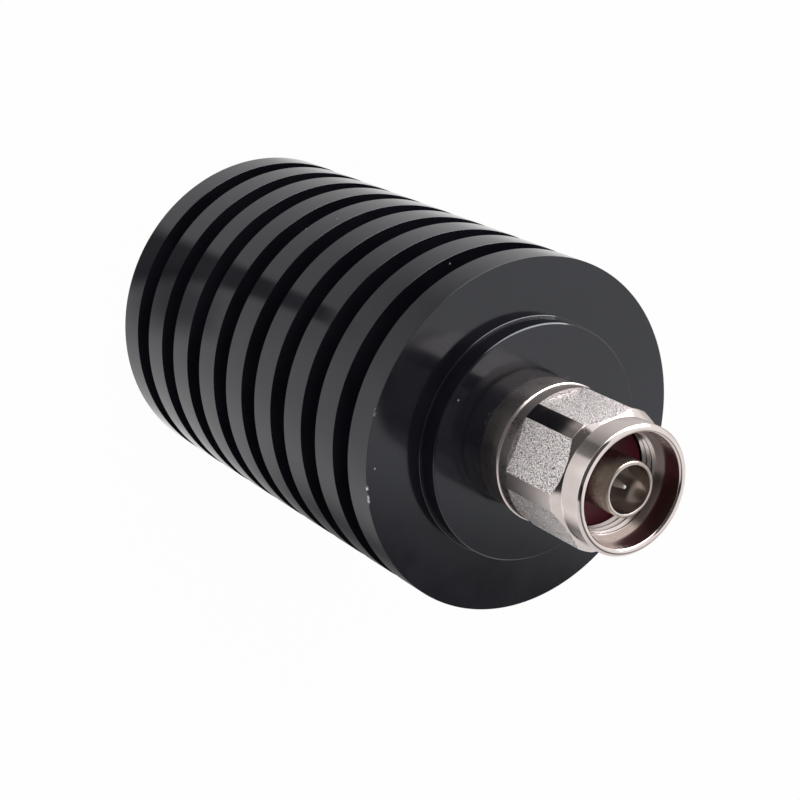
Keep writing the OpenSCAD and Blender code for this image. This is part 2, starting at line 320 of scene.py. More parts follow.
def smooth(piece, degrees=20):
    """Smooth shading up to an angle, with broad faces kept flat up to their rounded edges."""
    choose(piece)
    bpy.ops.object.shade_smooth_by_angle(angle=math.radians(degrees))
    modify(piece, "WEIGHTED_NORMAL", keep_sharp=True, weight=80)


def settle(piece, body, slot, *nodes):
    """The piece moves with its body and stands for its CAD nodes."""
    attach(piece, body)
    if nodes:
        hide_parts(*nodes)


def wire(tree, node, name, source):
    """Feeds an input of a node from a socket, or sets its value."""
    if isinstance(source, bpy.types.NodeSocket):
        tree.links.new(source, node.inputs[name])
    else:
        node.inputs[name].default_value = source


def put(tree, kind, inputs=None, **settings):
    """Adds a node with its settings and feeds its inputs."""
    node = tree.nodes.new(kind)
    for key, value in settings.items():
        setattr(node, key, value)
    for name, source in (inputs or {}).items():
        wire(tree, node, name, source)
    return node


def maths(tree, operation, *values):
    """The result of a Math node."""
    node = put(tree, "ShaderNodeMath", dict(enumerate(values)), operation=operation)
    return node.outputs[0]


def blend_colours(tree, factor, first, second):
    """The result of mixing two colours, each a socket or (r, g, b)."""
    node = put(tree, "ShaderNodeMix", data_type="RGBA")
    wire(tree, node, 0, factor)
    for index, value in ((6, first), (7, second)):
        wire(tree, node, index, value if isinstance(value, bpy.types.NodeSocket) else (*value, 1))
    return node.outputs[2]


def ranged(tree, value, low, high, to_low=0.0, to_high=1.0):
    """A value carried smoothly from one range to another."""
    node = put(tree, "ShaderNodeMapRange", {
        "Value": value, "From Min": low, "From Max": high, "To Min": to_low, "To Max": to_high},
        interpolation_type="SMOOTHSTEP")
    return node.outputs["Result"]


def between(tree, factor, low, high):
    """A value that goes smoothly from low to high with a factor."""
    return ranged(tree, factor, 0.0, 1.0, low, high)


def scaled(values, times):
    """A colour or a place times a number."""
    return [value * times for value in values]


def effect(name, inputs, build):
    """A shader node group with named inputs and outputs, built once."""
    group = bpy.data.node_groups.get(name)
    if group:
        return group
    group = bpy.data.node_groups.new(name, "ShaderNodeTree")
    for label, value in inputs.items():
        socket = group.interface.new_socket(label, in_out="INPUT", socket_type="NodeSocketFloat")
        socket.default_value = value
    start = group.nodes.new("NodeGroupInput")
    results = build(group, start.outputs)
    for label in results:
        group.interface.new_socket(label, in_out="OUTPUT", socket_type="NodeSocketFloat")
    end = group.nodes.new("NodeGroupOutput")
    for label, socket in results.items():
        wire(group, end, label, socket)
    return group


def use(tree, group, **values):
    """Places an effect in a material with its own values."""
    node = put(tree, "ShaderNodeGroup", node_tree=group)
    for label, value in values.items():
        wire(tree, node, label, value)
    return node.outputs


def place_on(tree):
    """The shaded point in the piece's own space, in metres."""
    return put(tree, "ShaderNodeTexCoord").outputs["Object"]


def parts(tree, vector):
    """The X, Y and Z of a vector."""
    return put(tree, "ShaderNodeSeparateXYZ", {0: vector}).outputs


def polar(tree):
    """Radius and height of the shaded point over the axis, in millimetres."""
    split = parts(tree, place_on(tree))
    flat = put(tree, "ShaderNodeCombineXYZ", {"X": split["X"], "Y": split["Y"]}).outputs[0]
    radius = put(tree, "ShaderNodeVectorMath", {0: flat}, operation="LENGTH").outputs["Value"]
    return maths(tree, "DIVIDE", radius, MM), maths(tree, "DIVIDE", split["Z"], MM)


def noise(tree, place, scale, detail=3.0, roughness=0.5):
    """A noise texture with its scale in repeats per metre."""
    return put(tree, "ShaderNodeTexNoise", {
        "Vector": place, "Scale": scale, "Detail": detail, "Roughness": roughness})


def turning_marks():
    """Fine rings that the lathe tool leaves, on faces and walls alike."""
    def build(tree, inputs):
        radius, level = polar(tree)
        rings = put(tree, "ShaderNodeCombineXYZ", {"X": radius, "Y": level}).outputs[0]
        fine = noise(tree, rings, maths(tree, "DIVIDE", 1.0, inputs["Spacing"]), 2.0)
        drift = noise(tree, place_on(tree), 220.0, 2.0)
        return {"Height": maths(tree, "MULTIPLY", fine.outputs["Fac"], drift.outputs["Fac"])}
    return effect("turning marks", {"Spacing": 0.1}, build)


def handling():
    """Broad faint smears that change the gloss from place to place."""
    def build(tree, inputs):
        broad = noise(tree, place_on(tree), inputs["Scale"], 4.0, 0.6).outputs["Fac"]
        return {"Smear": ranged(tree, broad, 0.3, 0.7)}
    return effect("handling", {"Scale": 60.0}, build)


def dust():
    """Single bright specks, few and far between."""
    def build(tree, inputs):
        cells = put(tree, "ShaderNodeTexVoronoi", {"Vector": place_on(tree), "Scale": inputs["Scale"]})
        chance = put(tree, "ShaderNodeSeparateColor", {0: cells.outputs["Color"]}).outputs[0]
        size = maths(tree, "MULTIPLY", inputs["Size"], chance)
        near = maths(tree, "LESS_THAN", cells.outputs["Distance"], size)
        kept = maths(tree, "GREATER_THAN", chance, maths(tree, "SUBTRACT", 1.0, inputs["Amount"]))
        return {"Speck": maths(tree, "MULTIPLY", near, kept)}
    return effect("dust", {"Scale": 300.0, "Size": 0.06, "Amount": 0.1}, build)


def edge_line():
    """How near a point is to one turned edge, given by its radius and height in millimetres."""
    def build(tree, inputs):
        radius, level = polar(tree)
        across = maths(tree, "SUBTRACT", radius, inputs["Radius"])
        along = maths(tree, "SUBTRACT", level, inputs["Height"])
        gap = maths(tree, "SQRT", maths(tree, "ADD", maths(tree, "MULTIPLY", across, across),
                                        maths(tree, "MULTIPLY", along, along)))
        full = maths(tree, "MULTIPLY", inputs["Reach"], 0.4)
        return {"Near": ranged(tree, gap, full, inputs["Reach"], 1.0, 0.0)}
    return effect("edge line", {"Radius": 10.0, "Height": 0.0, "Reach": 0.3}, build)


def finish(name):
    """A new material with an empty Principled shader, or the finished one of that name."""
    material = bpy.data.materials.get(name)
    if material:
        return material, None, None
    material = bpy.data.materials.new(name)
    material.use_nodes = True
    tree = material.node_tree
    return material, tree, tree.nodes["Principled BSDF"]


def raise_grain(tree, shader, heights, depth):
    """Feeds the shader's normal from heights, with the depth of the grain in millimetres."""
    bump = put(tree, "ShaderNodeBump", {"Height": heights, "Strength": 1.0, "Distance": depth * MM})
    wire(tree, shader, "Normal", bump.outputs["Normal"])


def knocked_edge(tree, sink):
    """Mask of the chips that knocks left on the edge of the front disc."""
    place = place_on(tree)
    outer, front = sink.fin_d / 2, SINK_HIGH.z
    rim = use(tree, edge_line(), Radius=outer / MM, Height=front / MM, Reach=0.3)["Near"]
    chips = ranged(tree, noise(tree, place, 1500.0, 4.0, 0.7).outputs["Fac"], 0.46, 0.56)
    struck = 0.0
    for degrees in KNOCKS:
        turn = math.radians(degrees)
        knock = Vector((outer * math.sin(turn), -outer * math.cos(turn), front))
        gap = put(tree, "ShaderNodeVectorMath", {0: place, 1: knock}, operation="DISTANCE")
        close = ranged(tree, gap.outputs["Value"], 0.3 * MM, 0.9 * MM, 1.0, 0.0)
        struck = maths(tree, "MAXIMUM", struck, close)
    return maths(tree, "MULTIPLY", maths(tree, "MULTIPLY", rim, chips), struck)


def seam_residue(tree, plug):
    """Mask of the faint dirt on the cap round the foot of the neck."""
    seam = use(tree, edge_line(), Radius=plug.neck_d / 2 / MM, Height=CAP_HIGH.z / MM, Reach=0.9)["Near"]
    cloud = ranged(tree, noise(tree, place_on(tree), 420.0, 5.0, 0.7).outputs["Fac"], 0.5, 0.75)
    return maths(tree, "MULTIPLY", maths(tree, "MULTIPLY", seam, cloud), 0.12)


def anodised(sink, plug):
    """Black anodised aluminium with faint turning marks, smears, specks and rubbed edges."""
    material, tree, shader = finish("anodised black")
    if tree is None:
        return material
    smear = use(tree, handling(), Scale=70.0)["Smear"]
    speck = use(tree, dust(), Scale=300.0, Size=0.05, Amount=0.1)["Speck"]
    worn = knocked_edge(tree, sink)
    residue = seam_residue(tree, plug)
    black = blend_colours(tree, smear, sink.black, scaled(sink.black, 1.6))
    dusty = blend_colours(tree, maths(tree, "MAXIMUM", speck, residue), black, (0.30, 0.30, 0.29))
    wire(tree, shader, "Base Color", blend_colours(tree, worn, dusty, sink.bare))
    wire(tree, shader, "Metallic", worn)
    matt = between(tree, smear, sink.gloss * 0.85, sink.gloss * 1.2)
    wire(tree, shader, "Roughness", maths(tree, "ADD", matt, maths(tree, "MULTIPLY", speck, 0.5)))
    wire(tree, shader, "IOR", 1.5)
    wire(tree, shader, "Specular Tint", (0.93, 0.95, 1.0, 1.0))
    graze = put(tree, "ShaderNodeLayerWeight", {"Blend": 0.5}).outputs["Facing"]
    wire(tree, shader, "Coat Weight", ranged(tree, graze, 0.78, 0.95))
    wire(tree, shader, "Coat Roughness", 0.03)
    raise_grain(tree, shader, use(tree, turning_marks(), Spacing=0.12)["Height"], 0.0015)
    return material


def nickel(plug, nut):
    """Nickel plating with a faint warm tint: satin up to the flats of the nut, polished in front."""
    material, tree, shader = finish("polished nickel")
    if tree is None:
        return material
    smear = use(tree, handling(), Scale=160.0)["Smear"]
    wire(tree, shader, "Base Color", blend_colours(
        tree, smear, plug.nickel, scaled(plug.nickel, 0.9)))
    wire(tree, shader, "Metallic", 1.0)
    radius, level = polar(tree)
    mouth = nut.mouth_d / 2 / MM
    shine = ranged(tree, radius, mouth, mouth + 0.2, 0.2, between(tree, smear, 0.08, 0.13))
    satin = between(tree, smear, plug.satin * 0.85, plug.satin * 1.1)
    rear = (NUT_LOW.z + nut.rim_len) / MM
    polish = ranged(tree, level, rear - 0.05, rear + 0.05)
    front = (NUT_HIGH.z - nut.collar_len) / MM
    rubbed = ranged(tree, parts(tree, place_on(tree))["X"], 0.0, 5 * MM, 0.1, 0.3)
    bright = ranged(tree, level, front - 2.0, front - 1.0, rubbed, shine)
    wire(tree, shader, "Roughness", between(tree, polish, satin, bright))
    raise_grain(tree, shader, use(tree, turning_marks(), Spacing=0.06)["Height"], 0.002)
    return material


def toned_nickel(plug):
    """Nickel of the outer contact: duller, toned brownish and with rings from the lathe; its bore gets a
    lighter colour, partly its own plating and partly painted light.
    """
    material, tree, shader = finish("toned nickel")
    if tree is None:
        return material
    smear = use(tree, handling(), Scale=300.0)["Smear"]
    radius = polar(tree)[0]
    outside = ranged(tree, radius, plug.outer_id / 2 / MM, plug.outer_d / 2 / MM - 0.2)
    # Painted light: the bore gets the lighter colour, the outside the duller toned one.
    tone = blend_colours(tree, outside, plug.bore_tone_and_painted_light, plug.toned)
    wire(tree, shader, "Base Color", blend_colours(
        tree, between(tree, smear, 0.0, 0.3), tone, scaled(plug.toned, 0.2)))
    wire(tree, shader, "Metallic", 1.0)
    matt = between(tree, smear, 0.26, 0.38)
    wire(tree, shader, "Roughness", between(tree, outside, 0.18, matt))
    raise_grain(tree, shader, use(tree, turning_marks(), Spacing=0.08)["Height"], 0.006)
    return material


def blasted_nickel(nut):
    """Nickel over bead-blasted brass: a dense grain, with painted glints and painted dark specks in its
    colour, and painted shade on the end walls that face forward.
    """
    material, tree, shader = finish("blasted nickel")
    if tree is None:
        return material
    place = place_on(tree)
    grain = noise(tree, place, 6200.0, 1.0, 0.6).outputs["Fac"]
    broad = noise(tree, place, 1500.0, 2.0, 0.6).outputs["Fac"]
    painted_glint = ranged(tree, grain, 0.41, 0.51)
    # The grain is drawn as painted glints between this dark colour and the full colour; the same dark
    # colour is the painted shade of the end walls.
    dark = scaled(nut.blasted, 0.15)
    upright = parts(tree, put(tree, "ShaderNodeNewGeometry").outputs["Normal"])["Z"]
    # Painted shade: faces that look forward along the axis, the rear end walls of the flats, are drawn
    # darker.
    wall = ranged(tree, upright, 0.3, 0.8, 0.0, 0.5)
    painted_sparkle = blend_colours(tree, painted_glint, dark, nut.blasted)
    wire(tree, shader, "Base Color", blend_colours(tree, wall, painted_sparkle, dark))
    wire(tree, shader, "Metallic", 1.0)
    wire(tree, shader, "Roughness", ranged(tree, broad, 0.3, 0.7, nut.blast * 1.15, nut.blast * 0.85))
    raise_grain(tree, shader, maths(tree, "ADD", grain, maths(tree, "MULTIPLY", broad, 0.5)), 0.10)
    return material


def silver(plug):
    """Silver plating of the center contact, slightly toned."""
    material, tree, shader = finish("silver plate")
    if tree is None:
        return material
    smear = use(tree, handling(), Scale=240.0)["Smear"]
    wire(tree, shader, "Base Color", blend_colours(
        tree, smear, plug.silver, scaled(plug.silver, 0.85)))
    wire(tree, shader, "Metallic", 1.0)
    wire(tree, shader, "Roughness", between(tree, smear, 0.42, 0.54))
    raise_grain(tree, shader, use(tree, turning_marks(), Spacing=0.05)["Height"], 0.002)
    return material


def silicone(plug):
    """Dark red silicone rubber with a fine moulded skin."""
    material, tree, shader = finish("red silicone")
    if tree is None:
        return material
    smear = use(tree, handling(), Scale=300.0)["Smear"]
    speck = use(tree, dust(), Scale=700.0, Size=0.06, Amount=0.06)["Speck"]
    red = blend_colours(tree, smear, plug.rubber, scaled(plug.rubber, 1.5))
    wire(tree, shader, "Base Color", blend_colours(tree, speck, red, (0.3, 0.22, 0.22)))
    wire(tree, shader, "Roughness", between(tree, smear, 0.42, 0.55))
    wire(tree, shader, "IOR", 1.41)
    raise_grain(tree, shader, noise(tree, place_on(tree), 2500.0).outputs["Fac"], 0.01)
    return material


def plain_finish(name, tone, rough, metallic, grain, spread=0.85):
    """A finish of the inner pieces: a toned colour with a fine grain of its own size."""
    material, tree, shader = finish(name)
    if tree is None:
        return material
    smear = use(tree, handling(), Scale=grain / 6)["Smear"]
    wire(tree, shader, "Base Color", blend_colours(tree, smear, tone, scaled(tone, spread)))
    wire(tree, shader, "Metallic", metallic)
    wire(tree, shader, "Roughness", between(tree, smear, rough * 0.85, rough * 1.15))
    raise_grain(tree, shader, noise(tree, place_on(tree), grain).outputs["Fac"], 0.006)
    return material


class DUMMY_LOAD_OT_heat_sink(bpy.types.Operator):
    """Turns the finned heat sink and bores its seat, chamber and screw holes"""

    bl_idname = "dummy_load.heat_sink"
    bl_label = "Heat sink"

    def execute(self, context):
        sink, plug = context.scene.heat_sink_look, context.scene.plug_look
        outer, core, front = sink.fin_d / 2, sink.core_d / 2, SINK_HIGH.z
        edge, soft, fillet = sink.fin_edge, sink.edge_round / 3, sink.root_round
        pitch = sink.fin_t + sink.groove_w
        fins = round((front + sink.groove_w) / pitch)
        corners = [(0, 0, 0)]
        for fin in range(fins):
            level = fin * pitch
            if fin:
                corners += [(core, level - sink.groove_w, fillet), (core, level, fillet)]
            top = level + sink.fin_t
            corners += [(outer - edge, level, soft), (outer, level + edge, soft),
                        (outer, top - edge, soft), (outer - edge, top, soft)]
        seat = sink.cap_d / 2 + sink.clear
        seat_floor = front - sink.cap_seat
        corners += [(seat, front, 0), (seat, seat_floor, 0), (sink.spigot_d / 2, seat_floor, 0),
                    (sink.spigot_d / 2, BODY_LOW.z, 0), (sink.chamber_d / 2, BODY_LOW.z, 0),
                    (sink.chamber_d / 2, sink.chamber_z, 0), (0, sink.chamber_z, 0)]
        piece = turned("fin_body", corners, steps=192)
        for side in (-1, 1):
            bpy.ops.mesh.primitive_cylinder_add(
                vertices=32, radius=sink.screw_d / 2, depth=2 * sink.screw_depth,
                location=(side * sink.screw_pitch / 2, -sink.screw_y, sink.chamber_z))
            drill = bpy.context.object
            place_at_origin(drill)
            cut(piece, drill)
        smooth(piece)
        piece.data.materials.append(anodised(sink, plug))
        settle(piece, "load", "anodised", "heat_sink")
        return {"FINISHED"}


class DUMMY_LOAD_OT_front_cap(bpy.types.Operator):
    """Turns the front cap with its spigot and chamfered edge"""

    bl_idname = "dummy_load.front_cap"
    bl_label = "Front cap"

    def execute(self, context):
        sink, plug = context.scene.heat_sink_look, context.scene.plug_look
        outer, spigot = sink.cap_d / 2, sink.spigot_d / 2 - sink.clear
        bore, top, soft = plug.neck_d / 2 + sink.clear / 5, CAP_HIGH.z, sink.edge_round
        face, brim, edge = SINK_HIGH.z, outer + sink.step_w, sink.step_edge
        seat, ledge = face - sink.cap_seat, face + sink.step_h
        piece = turned("cap", closed([
            (bore, CAP_LOW.z, 0), (spigot, CAP_LOW.z, 0), (spigot, seat, 0), (outer, seat, 0),
            (outer, face, 0), (brim, face, 0), (brim, ledge - edge, soft), (brim - edge, ledge, soft),
            (outer, ledge, soft), (outer, top - sink.cap_edge, soft),
            (outer - sink.cap_edge, top, soft), (bore, top, 0)]), steps=192)
        smooth(piece)
        piece.data.materials.append(anodised(sink, plug))
        settle(piece, "load", "anodised", "front_cap")
        return {"FINISHED"}


class DUMMY_LOAD_OT_plug_body(bpy.types.Operator):
    """Turns the plug body: flange, neck and the grooved journal"""

    bl_idname = "dummy_load.plug_body"
    bl_label = "Plug body"

    def execute(self, context):
        plug, sink, nut = context.scene.plug_look, context.scene.heat_sink_look, context.scene.nut_look
        flange, neck, journal = sink.spigot_d / 2 - sink.clear, plug.neck_d / 2, plug.journal_d / 2
        low, top, bore = BODY_LOW.z, BODY_HIGH.z, plug.bore_d / 2
        flange_top = low + plug.flange_t
        slot_low, slot_top = plug.groove_z - plug.groove_w / 2, plug.groove_z + plug.groove_w / 2
        slot = journal - plug.groove_depth
        foot, foot_z = plug.foot_d / 2, TUBE_LOW.z
        piece = turned("neck", closed([
            (bore, low, 0), (flange, low, 0), (flange, flange_top, 0), (neck, flange_top, 0),
            (neck, plug.neck_top, plug.neck_round), (journal, plug.neck_top, 0),
            (journal, slot_low, 0), (slot, slot_low, 0), (slot, slot_top, 0), (journal, slot_top, 0),
            (journal, top, 0), (foot, top, 0), (foot, foot_z, 0), (bore, foot_z, 0)]))
        smooth(piece)
        piece.data.materials.append(nickel(plug, nut))
        settle(piece, "load", "nickel", "plug_body")
        return {"FINISHED"}


class DUMMY_LOAD_OT_coupling_nut(bpy.types.Operator):
    """Turns the coupling nut, mills its six flats and gives them a blasted finish"""

    bl_idname = "dummy_load.coupling_nut"
    bl_label = "Coupling nut"

    def execute(self, context):
        nut, plug = context.scene.nut_look, context.scene.plug_look
        low, top, soft = NUT_LOW.z, NUT_HIGH.z, nut.edge_round
        lip, rim_top = low + nut.lip_t, low + nut.rim_len
        bar, rim, collar, mouth = nut.bar_d / 2, nut.rim_d / 2, nut.collar_d / 2, nut.mouth_d / 2
        shoulder = top - nut.collar_len
        guide, guide_top = nut.guide_d / 2, low + nut.guide_len
        thread, relief = nut.thread_d / 2, nut.relief_d / 2
        thread_top = top - nut.mouth_depth
        thread_low = thread_top - nut.thread_len
        slot_low, slot_top = plug.groove_z - plug.groove_w / 2, plug.groove_z + plug.groove_w / 2
        slot = guide + nut.groove_depth
        piece = turned("nut", closed([
            (guide, low, 0), (rim, low, soft / 3), (bar, low + nut.lip_edge, 0),
            (bar, lip - nut.lip_edge, 0), (rim, lip, soft / 3), (rim, rim_top, 0), (bar, rim_top, soft),
            (bar, shoulder - (bar - collar), soft), (collar, shoulder, 0),
            (collar, top - nut.collar_edge, soft), (collar - nut.collar_edge, top, soft),
            (mouth + nut.mouth_edge, top, soft), (mouth, top - nut.mouth_edge, soft),
            (mouth, thread_top, 0), (thread, thread_top, 0), (thread, thread_low, 0),
            (relief, thread_low, 0), (relief, guide_top, 0), (guide, guide_top, 0),
            (guide, slot_top, 0), (slot, slot_top, 0), (slot, slot_low, 0), (guide, slot_low, 0)]),
            steps=240)
        # The mill starts a hair below the rim, so that no two faces coincide.
        start = rim_top - 4 * SAME_POINT
        for side in range(6):
            cut(piece, self.mill(nut, start, nut.turn + side * TURN / 6))
        smooth(piece, 17)
        piece.data.materials.append(nickel(plug, nut))
        piece.data.materials.append(blasted_nickel(nut))
        self.blast(piece, nut, rim_top)
        settle(piece, "nut", "nickel", "coupling_nut")
        return {"FINISHED"}

    def mill(self, nut, low, turn):
        """The space that the end mill clears over one flat, from its rear end on."""
        size = nut.bar_d
        bpy.ops.mesh.primitive_cube_add(
            size=size, location=(nut.flats / 2 + size / 2, 0, low + size / 2))
        path = bpy.context.object
        place_at_origin(path)
        path.rotation_euler.z = turn
        place_at_origin(path)
        return path

    def blast(self, piece, nut, rear):
        """Gives the milled flats and their rear end walls the second material."""
        for face in piece.data.polygons:
            across = face.center.dot(face.normal)
            turn = math.degrees(math.atan2(face.normal.y, face.normal.x) - nut.turn) % 60
            flat = abs(face.normal.z) < 0.01 and min(turn, 60 - turn) < 0.2
            wall = face.normal.z > 0.99 and abs(face.center.z - rear) < 2 * SAME_PLANE
            if wall or flat and abs(across - nut.flats / 2) < SAME_PLANE:
                face.material_index = 1


class DUMMY_LOAD_OT_nut_thread(bpy.types.Operator):
    """Winds the thread inside the coupling nut"""

    bl_idname = "dummy_load.nut_thread"
    bl_label = "Nut thread"

    def execute(self, context):
        nut, plug = context.scene.nut_look, context.scene.plug_look
        root, pitch = nut.thread_d / 2, nut.thread_pitch
        crest = root - nut.thread_rise
        high = NUT_HIGH.z - nut.mouth_depth
        low = high - nut.thread_len
        start = low - pitch
        # The ridge is sunk a little into the wall of the nut.
        sunk, half_foot, half_crest = root + 0.02 * MM, 0.46 * pitch, 0.08 * pitch
        piece = outline("nut_thread", closed([
            (sunk, start - half_foot, 0), (crest, start - half_crest, 0),
            (crest, start + half_crest, 0), (sunk, start + half_foot, 0)]))
        bpy.ops.mesh.select_all(action="SELECT")
        bpy.ops.mesh.remove_doubles(threshold=SAME_POINT)
        bpy.ops.object.mode_set(mode="OBJECT")
        turns = math.ceil(nut.thread_len / pitch) + 2
        modify(piece, "SCREW", axis="Z", screw_offset=pitch, iterations=turns,
               steps=120, render_steps=120, use_merge_vertices=False)
        bpy.ops.object.mode_set(mode="EDIT")
        bpy.ops.mesh.select_all(action="SELECT")
        bpy.ops.mesh.fill_holes(sides=4)
        close_up()
        inside, outside = crest - nut.thread_rise, root + nut.thread_rise
        trim = turned("thread_trim", closed([
            (inside, low, 0), (outside, low, 0), (outside, high, 0), (inside, high, 0)]), steps=120)
        cut(piece, trim, "INTERSECT")
        smooth(piece, 25)
        piece.data.materials.append(nickel(plug, nut))
        settle(piece, "nut", "nickel")
        return {"FINISHED"}


class DUMMY_LOAD_OT_gasket(bpy.types.Operator):
    """Turns the red gasket in front of the journal"""

    bl_idname = "dummy_load.gasket"
    bl_label = "Gasket"

    def execute(self, context):
        plug = context.scene.plug_look
        inner, outer = plug.hub_d / 2, plug.gasket_d / 2
        low, soft = BODY_HIGH.z, plug.gasket_t / 5
        high = low + plug.gasket_t
        piece = turned("gasket_ring", closed([
            (inner, low, 0), (outer, low, soft), (outer, high, soft), (inner, high, 0)]))
        smooth(piece, 35)
        piece.data.materials.append(silicone(plug))
        settle(piece, "load", "silicone", "gasket")
        return {"FINISHED"}


class DUMMY_LOAD_OT_outer_contact(bpy.types.Operator):
    """Turns the tube of the outer contact with its foot and chamfered end"""

    bl_idname = "dummy_load.outer_contact"
    bl_label = "Outer contact"

    def execute(self, context):
        plug = context.scene.plug_look
        bore, tube, hub, foot = plug.outer_id / 2, plug.outer_d / 2, plug.hub_d / 2, plug.foot_d / 2
        low, high, edge = TUBE_LOW.z, TUBE_HIGH.z, plug.outer_edge
        seat = BODY_HIGH.z
        step = seat + plug.gasket_t
        piece = turned("contact_tube", closed([
            (bore, low, 0), (foot, low, 0), (foot, seat, 0), (hub, seat, 0), (hub, step, 0),
            (tube, step, 0), (tube, high - edge, edge / 4), (tube - edge, high, edge / 4),
            (bore, high, edge / 3)]))
        smooth(piece, 35)
        piece.data.materials.append(toned_nickel(plug))
        settle(piece, "load", "nickel", "outer_contact")
        return {"FINISHED"}


class DUMMY_LOAD_OT_center_contact(bpy.types.Operator):
    """Turns the tapered pin with its shoulder and flattened tail"""

    bl_idname = "dummy_load.center_contact"
    bl_label = "Center contact"

    def execute(self, context):
        plug = context.scene.plug_look
        tail, inner, pin, tip = plug.tail_d / 2, plug.inner_d / 2, plug.pin_d / 2, plug.tip_d / 2
        low, high = PIN_LOW.z, PIN_HIGH.z
        shoulder, taper = high - plug.pin_len, high - plug.taper_len
        piece = turned("contact_pin", [
            (0, low, 0), (tail, low, 0), (tail, plug.inner_z, 0), (inner, plug.inner_z, 0),
            (inner, shoulder, pin / 8), (pin, shoulder, 0), (pin, taper, pin / 6),
            (tip, high - tip * 0.55, tip * 0.5), (tip * 0.55, high, tip * 0.4), (0, high, 0)], steps=96)
        bpy.ops.mesh.primitive_cube_add(
            size=1, scale=(4 * tail, 2 * tail, 2 * plug.tail_flat), location=(0, tail, low))
        flat = bpy.context.object
        place_at_origin(flat)
        cut(piece, flat)
        smooth(piece, 35)
        piece.data.materials.append(silver(plug))
        settle(piece, "load", "silver_plate", "center_contact")
        return {"FINISHED"}


class DUMMY_LOAD_OT_inner_pieces(bpy.types.Operator):
    """Gives the insulators, the resistor, its lead and screws and the ring their finishes"""

    bl_idname = "dummy_load.inner_pieces"
    bl_label = "Inner pieces"

    def execute(self, context):
        plug = context.scene.plug_look
        ptfe = plain_finish("white insulator", (0.80, 0.80, 0.76), 0.38, 0.0, 1400.0, 0.93)
        copper = plain_finish("plated copper", (0.70, 0.52, 0.40), 0.28, 1.0, 2200.0)
        ceramic = plain_finish("ceramic", (0.78, 0.77, 0.72), 0.55, 0.0, 3000.0, 0.92)
        steel = plain_finish("spring steel", (0.40, 0.40, 0.41), 0.30, 1.0, 2600.0)
        for node, material in {
                "front_insulator": ptfe, "rear_insulator": ptfe, "resistor_flange": copper,
                "resistor_substrate": ceramic, "resistor_cover": ceramic, "lead_strip": silver(plug),
                "retaining_ring": steel, "flange_screws": steel}.items():
            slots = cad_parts[node].data.materials
            slots.clear()
            slots.append(material)
        return {"FINISHED"}


